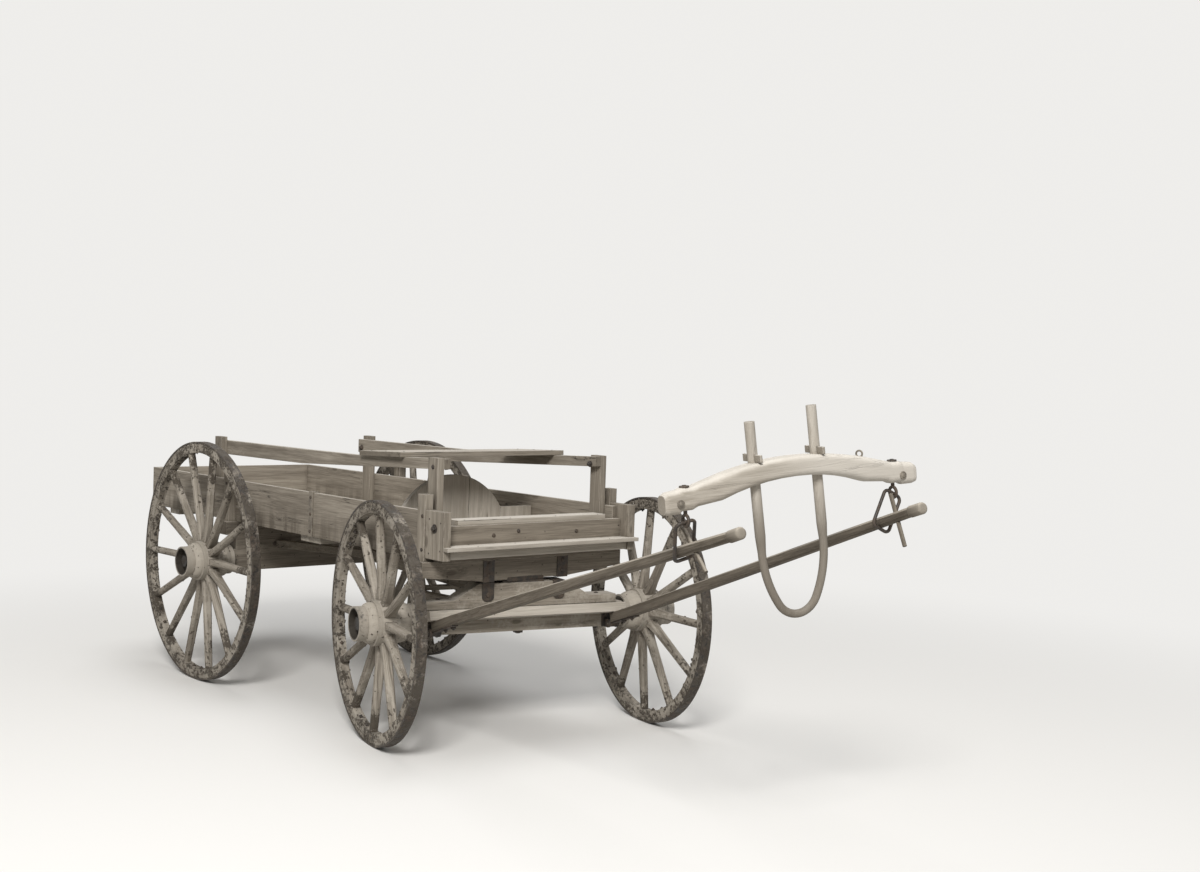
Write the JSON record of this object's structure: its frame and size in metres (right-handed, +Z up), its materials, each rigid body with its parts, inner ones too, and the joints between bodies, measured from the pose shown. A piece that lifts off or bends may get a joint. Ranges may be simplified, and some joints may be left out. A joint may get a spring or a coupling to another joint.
{
  "type": "bullock cart",
  "caption": "Low-sided plank wagon on wooden spoked wheels, its front axle turning on a king pin, with hinged shafts that carry a neck yoke and bow",
  "frame": {"origin": "on the ground under the middle of the footprint", "axes": "+X forward along the box, +Y to the wagon's left, +Z up"},
  "size_m": [5.5356, 1.85, 1.6802],
  "materials": {
    "box_wood": "bare weathered planks",
    "gear_wood": "bare weathered timber, muddy",
    "wheel_wood": "bare weathered timber, muddy",
    "shaft_wood": "bare pole, worn smooth",
    "yoke_wood": "hewn and worn smooth",
    "iron": "rusted forged iron",
    "tyre_iron": "worn bright iron on the tread"
  },
  "bodies": {
    "bed": {"bolster_irons": "iron", "bolster_stakes": "box_wood", "corner_blocks": "box_wood", "floor_boards": "box_wood", "floor_sills": "box_wood", "foot_plank": "box_wood", "front_board": "box_wood", "front_bolster": "gear_wood", "front_step": "box_wood", "head_board": "box_wood", "king_pin": "iron", "rail_posts": "box_wood", "reach": "gear_wood", "rear_axle": "gear_wood", "rear_axle_arms": "iron", "rear_bolster": "gear_wood", "rear_hounds": "gear_wood", "seat_plank": "box_wood", "side_board_left": "box_wood", "side_board_right": "box_wood", "side_rails": "box_wood", "side_straps": "iron", "tail_board": "box_wood"},
    "front_gear": {"axle_irons": "iron", "front_axle": "gear_wood", "front_axle_arms": "iron", "front_hounds": "gear_wood", "sand_board": "gear_wood", "shaft_couplings": "iron", "sway_bar": "gear_wood"},
    "shafts": {"bow_keys": "yoke_wood", "cross_bar": "shaft_wood", "shaft_irons": "iron", "shaft_left": "shaft_wood", "shaft_pegs": "shaft_wood", "shaft_right": "shaft_wood", "shaft_rings": "iron", "yoke_beam": "yoke_wood", "yoke_bow": "yoke_wood", "yoke_staples": "iron"},
    "rear_right_wheel": {"rear_right_felloes": "wheel_wood", "rear_right_hub": "wheel_wood", "rear_right_hub_bands": "iron", "rear_right_spokes": "wheel_wood", "rear_right_tyre": "tyre_iron"},
    "rear_left_wheel": {"rear_left_felloes": "wheel_wood", "rear_left_hub": "wheel_wood", "rear_left_hub_bands": "iron", "rear_left_spokes": "wheel_wood", "rear_left_tyre": "tyre_iron"},
    "front_right_wheel": {"front_right_felloes": "wheel_wood", "front_right_hub": "wheel_wood", "front_right_hub_bands": "iron", "front_right_spokes": "wheel_wood", "front_right_tyre": "tyre_iron"},
    "front_left_wheel": {"front_left_felloes": "wheel_wood", "front_left_hub": "wheel_wood", "front_left_hub_bands": "iron", "front_left_spokes": "wheel_wood", "front_left_tyre": "tyre_iron"}
  },
  "joints": [
    {"name": "steering", "type": "hinge", "parent": "bed", "child": "front_gear", "pos_m": [0.23072, 0.0723, 0.75], "axis": [0, 0, 1], "range_deg": [-4.2, 27.8]},
    {"name": "shaft_hinge", "type": "hinge", "parent": "front_gear", "child": "shafts", "pos_m": [0.31882, 0.05389, 0.524], "axis": [-0.2045, -0.9789, 0], "range_deg": [-23, 15]},
    {"name": "rear_right_wheel_spin", "type": "hinge", "parent": "bed", "child": "rear_right_wheel", "pos_m": [-1.71928, -0.6557, 0.655], "axis": [0, 1, 0], "continuous": true},
    {"name": "rear_left_wheel_spin", "type": "hinge", "parent": "bed", "child": "rear_left_wheel", "pos_m": [-1.71928, 0.8003, 0.655], "axis": [0, 1, 0], "continuous": true},
    {"name": "front_right_wheel_spin", "type": "hinge", "parent": "front_gear", "child": "front_right_wheel", "pos_m": [0.08185, -0.64032, 0.57], "axis": [0.2045, 0.9789, 0], "continuous": true},
    {"name": "front_left_wheel_spin", "type": "hinge", "parent": "front_gear", "child": "front_left_wheel", "pos_m": [0.37959, 0.78491, 0.57], "axis": [0.2045, 0.9789, 0], "continuous": true}
  ]
}
